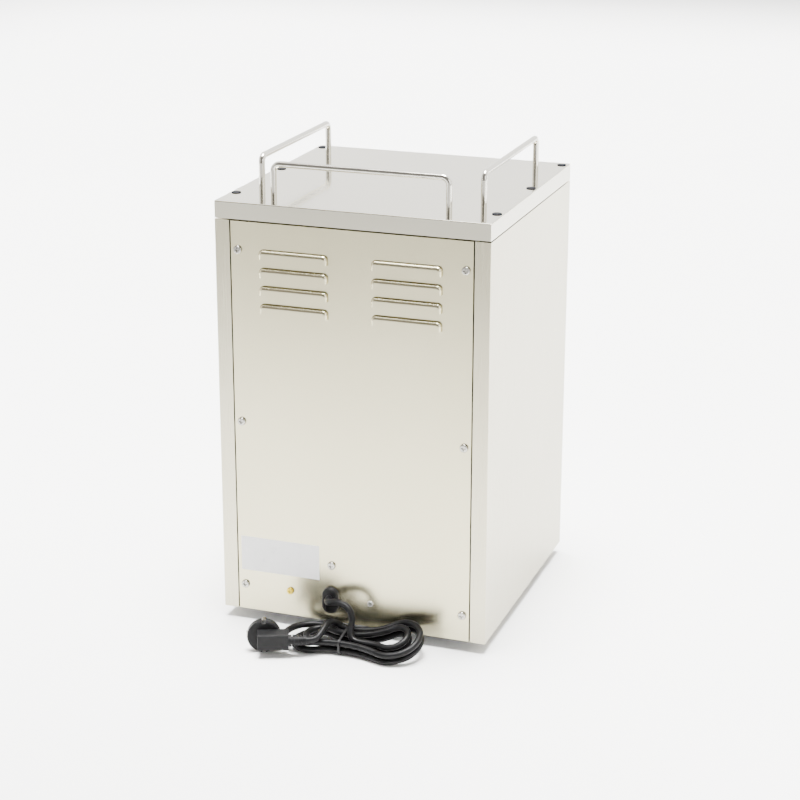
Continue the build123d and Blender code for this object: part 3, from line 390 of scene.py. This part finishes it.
rear_steel = satin_sheet(
    "rear_steel", dark=(0.53, 0.49, 0.335), light=(0.59, 0.55, 0.385), roughness=0.25,
    grain=upright_grain, spread=0.015,
)
dress(rear_steel, "rear_panel")
side_steel = satin_sheet(
    "side_steel", dark=(0.45, 0.42, 0.315), light=(0.51, 0.48, 0.365), roughness=0.24,
    grain=upright_grain,
)
dress(side_steel, "left_side_panel", "right_side_panel", "front_frame", "fascia", "door_skin_outer")

# %% [markdown]
# A narrow seam runs down both sides of the rear panel. On the real cabinet it is deep and holds no
# light, so it reads as a black line. That shade is painted here: the folded flange behind the seam is
# painted near black by its place in the side panel, and fades back to bare steel at the seam's lip.
# Three limits make the mask of this painted shade, and they are multiplied: far enough to the rear,
# not yet at the lip, and not past the flange's edge.

# %% Painted shade in the seam beside the rear panel
# The near-black colour here is painted shade: it stands for the shadow held in the deep seam.
painted_seam_shade = (0.004, 0.004, 0.004)
flange_edge, seam_floor, seam_lip = 142.35 * mm, 174.0 * mm, 174.8 * mm
flange_depth, floor_margin, edge_fade = 1.0 * mm, 0.2 * mm, 0.1 * mm


def paint_shade_on_sunk_flange(finish):
    """Paints shade onto a finish: near black on the flange that lies sunk behind the rear panel's edge.
    """
    tree = finish.node_tree
    shader = tree.nodes["Principled BSDF"]
    place = tree.nodes.new("ShaderNodeTexCoord")
    axes = tree.nodes.new("ShaderNodeSeparateXYZ")
    tree.links.new(place.outputs["Object"], axes.inputs["Vector"])
    sideways = tree.nodes.new("ShaderNodeMath")
    sideways.operation = "ABSOLUTE"
    tree.links.new(axes.outputs["X"], sideways.inputs[0])
    rearward, from_middle = axes.outputs["Y"], sideways.outputs["Value"]
    painted_shade_mask = between(tree, rearward, 0, 1, seam_floor - 2 * flange_depth, seam_floor - flange_depth)
    for limit in (
        between(tree, rearward, 1, 0, seam_floor + floor_margin, seam_lip),
        between(tree, from_middle, 1, 0, flange_edge, flange_edge + edge_fade),
    ):
        product = tree.nodes.new("ShaderNodeMath")
        product.operation = "MULTIPLY"
        tree.links.new(painted_shade_mask, product.inputs[0])
        tree.links.new(limit, product.inputs[1])
        painted_shade_mask = product.outputs["Value"]
    # The steel's tone is blended into the painted shade wherever the mask is set.
    tone = tree.nodes.new("ShaderNodeMixRGB")
    steel_tone = shader.inputs["Base Color"].links[0].from_socket
    tree.links.new(steel_tone, tone.inputs["Color1"])
    tone.inputs["Color2"].default_value = (*painted_seam_shade, 1)
    tree.links.new(painted_shade_mask, tone.inputs["Fac"])
    tree.links.new(tone.outputs["Color"], shader.inputs["Base Color"])


paint_shade_on_sunk_flange(side_steel)
print("seam darkened from", seam_floor, "to", seam_lip)

# %% [markdown]
# The lid is smoother than the walls: the rails show in it almost as in a mirror. It gets the same
# kind of sheet with a lower roughness, and its grain runs from side to side. The sheets inside are
# duller and cooler, since nobody polishes what is only seen with the door open.

# %% Lid and inner sheets
lid_steel = satin_sheet(
    "lid_steel", dark=(0.60, 0.575, 0.48), light=(0.66, 0.635, 0.54), roughness=0.11,
    grain=level_grain, spread=0.03,
)
dress(lid_steel, "lid")
liner_steel = satin_sheet(
    "liner_steel", dark=(0.55, 0.55, 0.53), light=(0.62, 0.62, 0.60), roughness=0.38,
    grain=upright_grain,
)
dress(liner_steel, "chamber_liner", "chamber_floor", "shelf_runners", "door_skin_inner")

# %% [markdown]
# The rails and the door's handle are polished rod, the shelves are chromed wire, and the plug's
# metal is nickel plated. Polishing leaves a bright mirror with faint smears, so the roughness is low
# and varies in soft patches, with a very slight relief.

# %% Polished rod, wire and pins
smear_height, smear_strength = 0.02 * mm, 0.15
smear_least, smear_most = 0.7, 1.4


def polished(name, color, roughness, scale=60.0):
    """A bright metal whose roughness varies in patches."""
    finish, tree, shader = new_finish(name, color, 1.0, roughness)
    smear = stretched_noise(tree, scale)
    smoothness = between(tree, smear, roughness * smear_least, roughness * smear_most)
    tree.links.new(smoothness, shader.inputs["Roughness"])
    raised(tree, smear, shader, smear_height, smear_strength)
    return finish


rod_steel = polished("rod_steel", color=(0.60, 0.58, 0.52), roughness=0.12)
dress(rod_steel, "left_rail", "right_rail", "rear_rail", "door_handle")
wire_chrome = polished("wire_chrome", color=(0.70, 0.70, 0.71), roughness=0.08)
dress(wire_chrome, "lower_shelf", "middle_shelf", "upper_shelf")
plug_nickel = polished("plug_nickel", color=(0.74, 0.72, 0.68), roughness=0.16, scale=220.0)
dress(plug_nickel, "plug_pins", "plug_earth_clips")

# %% [markdown]
# The screws and the hidden sheets are zinc plated, with the faint crystals and smudges of plating.
# The earth screw is brass, the panel's rivet is aluminium and the thermostat's bulb is copper. The
# heating element has a dark sheath that heat has dulled. One recipe serves them all: a metal whose
# tone and roughness both follow fine noise. The screws' tone is darker than zinc alone would be, to
# stand for the small shadows that their cross recesses hold.

# %% Plated and plain metals
bloom_height, bloom_strength = 0.03 * mm, 0.2
bloom_smoother, bloom_rougher = 0.08, 0.1


def plated(name, dark, light, roughness, scale):
    """A metal with fine bloom in its tone and its roughness."""
    finish, tree, shader = new_finish(name, light, 1.0, roughness)
    bloom = stretched_noise(tree, scale, detail=4.0)
    two_tones(tree, bloom, shader, dark, light)
    smoothness = between(tree, bloom, roughness - bloom_smoother, roughness + bloom_rougher)
    tree.links.new(smoothness, shader.inputs["Roughness"])
    raised(tree, bloom, shader, bloom_height, bloom_strength)
    return finish


screw_zinc = plated(
    "screw_zinc", dark=(0.30, 0.29, 0.27), light=(0.44, 0.43, 0.39), roughness=0.16, scale=500.0,
)
dress(screw_zinc, "rear_panel_screws", "foot_screws", "lid_screws", "lid_spacers", "rail_nuts",
      "handle_screws", "thermostat_spindle")
sheet_zinc = plated(
    "sheet_zinc", dark=(0.42, 0.43, 0.44), light=(0.52, 0.53, 0.54), roughness=0.42, scale=140.0,
)
dress(sheet_zinc, "base_plate", "element_tray", "element_saddles", "lower_hinge", "upper_hinge",
      "door_strike")
screw_brass = plated(
    "screw_brass", dark=(0.42, 0.30, 0.03), light=(0.60, 0.45, 0.05), roughness=0.18, scale=400.0,
)
dress(screw_brass, "earth_screw")
rivet_aluminium = plated(
    "rivet_aluminium", dark=(0.70, 0.70, 0.68), light=(0.82, 0.81, 0.79), roughness=0.24, scale=400.0,
)
dress(rivet_aluminium, "panel_rivet")
bulb_copper = plated(
    "bulb_copper", dark=(0.45, 0.20, 0.11), light=(0.60, 0.30, 0.18), roughness=0.35, scale=300.0,
)
dress(bulb_copper, "thermostat_bulb")
element_tube = plated(
    "element_tube", dark=(0.05, 0.045, 0.045), light=(0.11, 0.10, 0.095), roughness=0.55, scale=260.0,
)
dress(element_tube, "heating_element")

# %% [markdown]
# The cord's sheath and the plug are black rubber-like plastic. The sheath has a low sheen and a
# slight unevenness, and the moulded plug is rougher, with the fine texture of its mould. Their tones
# are very dark and their shine is turned down, because the studio is bright: with the usual shine
# they would look grey beside the photograph.

# %% Moulded plastic, and the cord and plug
grain_to_patch = 14
patch_smoother, patch_rougher = 0.06, 0.08
grain_strength = 0.35


def moulded(name, dark, light, roughness, scale, depth, coat=0.0, specular=0.5):
    """A plastic with fine mould grain of a given depth, and soft patches in tone and roughness."""
    finish, tree, shader = new_finish(name, light, 0.0, roughness, specular, coat)
    grain = stretched_noise(tree, scale, detail=4.0)
    patch = stretched_noise(tree, scale / grain_to_patch, detail=2.0)
    two_tones(tree, patch, shader, dark, light)
    smoothness = between(tree, patch, roughness - patch_smoother, roughness + patch_rougher)
    tree.links.new(smoothness, shader.inputs["Roughness"])
    raised(tree, grain, shader, depth, grain_strength)
    return finish


cord_rubber = moulded(
    "cord_rubber", dark=(0.003, 0.003, 0.0032), light=(0.006, 0.006, 0.0064), roughness=0.36,
    scale=900.0, depth=0.04 * mm, specular=0.12,
)
cord_curve.materials.append(cord_rubber)
plug_rubber = moulded(
    "plug_rubber", dark=(0.004, 0.004, 0.0043), light=(0.008, 0.008, 0.0085), roughness=0.48,
    scale=1600.0, depth=0.06 * mm, specular=0.12,
)
dress(plug_rubber, "plug_body")

# %% [markdown]
# The bushing, the tie, the switch's housing and the magnet catch are black nylon. The feet and the
# door's gasket are softer rubber, which is duller. The knob and the rocker are glossy, with a thin
# clear coat, as hard plastic that fingers touch. The knob's scale is matt black ink. The plugs that
# close the lid's screw holes are dark and matt too.

# %% Black nylon, feet, knob, ink and hole plugs
black_nylon = moulded(
    "black_nylon", dark=(0.004, 0.004, 0.0043), light=(0.009, 0.009, 0.009), roughness=0.42,
    scale=1500.0, depth=0.04 * mm, specular=0.25,
)
dress(black_nylon, "cord_bushing", "cord_tie", "switch_housing", "magnet_catch")
black_foot = moulded(
    "black_foot", dark=(0.006, 0.006, 0.006), light=(0.013, 0.013, 0.013), roughness=0.60,
    scale=1200.0, depth=0.08 * mm, specular=0.25,
)
dress(black_foot, "feet", "door_gasket")
knob_black = moulded(
    "knob_black", dark=(0.010, 0.010, 0.010), light=(0.016, 0.016, 0.016), roughness=0.24,
    scale=1500.0, depth=0.03 * mm, coat=0.3,
)
dress(knob_black, "thermostat_knob", "switch_rocker")
scale_ink = moulded(
    "scale_ink", dark=(0.010, 0.010, 0.010), light=(0.020, 0.020, 0.020), roughness=0.50,
    scale=2500.0, depth=0.02 * mm,
)
dress(scale_ink, "knob_scale")
hole_plug_dark = moulded(
    "hole_plug_dark", dark=(0.005, 0.005, 0.006), light=(0.010, 0.010, 0.012), roughness=0.55,
    scale=1200.0, depth=0.03 * mm, specular=0.06,
)
dress(hole_plug_dark, "hole_plugs")

# %% [markdown]
# The label is a bare pale film: it stays empty. The nylon parts, the thermostat's case and the
# lamp's lens are plain plastics. The lens is a strong amber under a clear coat, which reads as a
# lamp that is off.

# %% Label, pale plastics and lamp
label_film = moulded(
    "label_film", dark=(0.86, 0.86, 0.85), light=(0.91, 0.91, 0.90), roughness=0.32,
    scale=700.0, depth=0.02 * mm,
)
dress(label_film, "rating_label")
white_nylon = moulded(
    "white_nylon", dark=(0.66, 0.65, 0.61), light=(0.74, 0.73, 0.70), roughness=0.45,
    scale=900.0, depth=0.03 * mm,
)
dress(white_nylon, "door_bushings", "terminal_block")
cream_case = moulded(
    "cream_case", dark=(0.50, 0.46, 0.36), light=(0.60, 0.56, 0.45), roughness=0.45,
    scale=900.0, depth=0.03 * mm,
)
dress(cream_case, "thermostat")
amber_lens = moulded(
    "amber_lens", dark=(0.55, 0.13, 0.015), light=(0.68, 0.18, 0.02), roughness=0.16,
    scale=700.0, depth=0.02 * mm, coat=0.5,
)
dress(amber_lens, "indicator_lamp")

# %% [markdown]
# The insulation is a slab of mineral wool: rough, fibrous and full of small shadows. One noise,
# drawn out along the height like long fibres, sets both its tone and its relief, so the tone is darker
# where the relief is low: partly the wool's own uneven colour, partly painted shade between the
# fibres. Wool has hardly any shine, so its roughness is near one.

# %% Mineral wool
wool, wool_tree, wool_shader = new_finish(
    "mineral_wool", (0.55, 0.48, 0.25), metallic=0.0, roughness=0.95, specular=0.1,
)
fibres = stretched_noise(wool_tree, 260.0, stretch=(1, 1, 0.15), detail=6.0, rough=0.7)
# Darker where the fibres sink: partly the wool's own colour, partly painted shade between the fibres.
two_tones(wool_tree, fibres, wool_shader, dark=(0.34, 0.29, 0.14), light=(0.62, 0.55, 0.32))
raised(wool_tree, fibres, wool_shader, height=1.2 * mm, strength=0.8)
dress(wool, "insulation_sides", "insulation_rear", "insulation_top", "door_insulation")

# %% [markdown]
# The floor is flat, pale and matt, and so wide that its edge stays outside the picture. It lies a
# hair below the feet, so that nothing shares a face with it. It is stage, not object.

# %% Floor
floor_half, floor_drop = 6.0, 0.2 * mm
floor_mesh = bpy.data.meshes.new("studio_floor")
floor_mesh.from_pydata(
    [(-floor_half, -floor_half, 0), (floor_half, -floor_half, 0),
     (floor_half, floor_half, 0), (-floor_half, floor_half, 0)],
    [], [(0, 1, 2, 3)],
)
floor = bpy.data.objects.new("studio_floor", floor_mesh)
bpy.context.scene.collection.objects.link(floor)
floor.location.z = -floor_drop
floor_paint, floor_tree, floor_shader = new_finish(
    "floor_paint", (0.86, 0.86, 0.85), metallic=0.0, roughness=0.6, specular=0.3,
)
floor_cloud = stretched_noise(floor_tree, 1.5, detail=2.0)
two_tones(floor_tree, floor_cloud, floor_shader, dark=(0.85, 0.85, 0.84), light=(0.87, 0.87, 0.86))
floor_mesh.materials.append(floor_paint)
print("floor", 2 * floor_half, "m wide")

# %% [markdown]
# Polished steel shows its surroundings, so they matter as much as its own colour. The room is pale
# beyond the cabinet's front and grows dark towards the side where the camera stands, as a studio is
# behind the photographer. That gives the rods their dark lines and the lid's rim its deeper tone.

# %% The room around it
pale_room, dark_room = (1.0, 0.99, 0.97), (0.12, 0.115, 0.11)
fade_start, fade_end, room_strength = 0.35, 0.75, 3.2

world = bpy.data.worlds.new("studio_world")
world.use_nodes = True
bpy.context.scene.world = world
room = world.node_tree
sky = room.nodes["Background"]
direction = room.nodes.new("ShaderNodeTexCoord")
split = room.nodes.new("ShaderNodeSeparateXYZ")
room.links.new(direction.outputs["Generated"], split.inputs["Vector"])
fade = room.nodes.new("ShaderNodeValToRGB")
fade.color_ramp.elements[0].position = fade_start
fade.color_ramp.elements[1].position = fade_end
fade.color_ramp.elements[0].color = (*pale_room, 1)
fade.color_ramp.elements[1].color = (*dark_room, 1)
room.links.new(between(room, split.outputs["Y"], 0, 1, start=-1, end=1), fade.inputs["Fac"])
room.links.new(fade.outputs["Color"], sky.inputs["Color"])
sky.inputs["Strength"].default_value = room_strength
print("room strength", room_strength)

# %% [markdown]
# One large soft lamp hangs over the cabinet and the floor beyond it. Its light is held within a
# narrow angle, as by a grid, so the floor near the camera falls dark. The rear panel mirrors that
# floor, which is why its top is deeper in tone than its middle. Two weak lamps fill the sides.

# %% Lamps
def soft_lamp(name, place, aim, width, height, watts):
    """A rectangular area lamp at a place, facing the point it is aimed at."""
    data = bpy.data.lights.new(name, "AREA")
    data.shape = "RECTANGLE"
    data.size, data.size_y = width, height
    data.energy = watts
    lamp = bpy.data.objects.new(name, data)
    lamp.location = place
    lamp.rotation_mode = "QUATERNION"
    lamp.rotation_quaternion = (Vector(aim) - Vector(place)).to_track_quat("-Z", "Y")
    bpy.context.scene.collection.objects.link(lamp)
    return lamp


cabinet_middle = (0, 0, 0.25)
overhead_grid_angle = 40
overhead = soft_lamp(
    "overhead_lamp", place=(0, -2.0, 3.4), aim=(0, -2.0, 0), width=6.5, height=6.0, watts=900,
)
overhead.data.spread = math.radians(overhead_grid_angle)
soft_lamp("left_lamp", place=(-2.2, 1.4, 1.2), aim=cabinet_middle, width=1.4, height=1.6, watts=30)
soft_lamp("right_lamp", place=(2.2, 1.6, 1.0), aim=cabinet_middle, width=1.2, height=1.4, watts=10)
print("lamps placed")

# %% [markdown]
# The view layer is brought up to date.

# %% Bring the view layer up to date
bpy.context.view_layer.update()
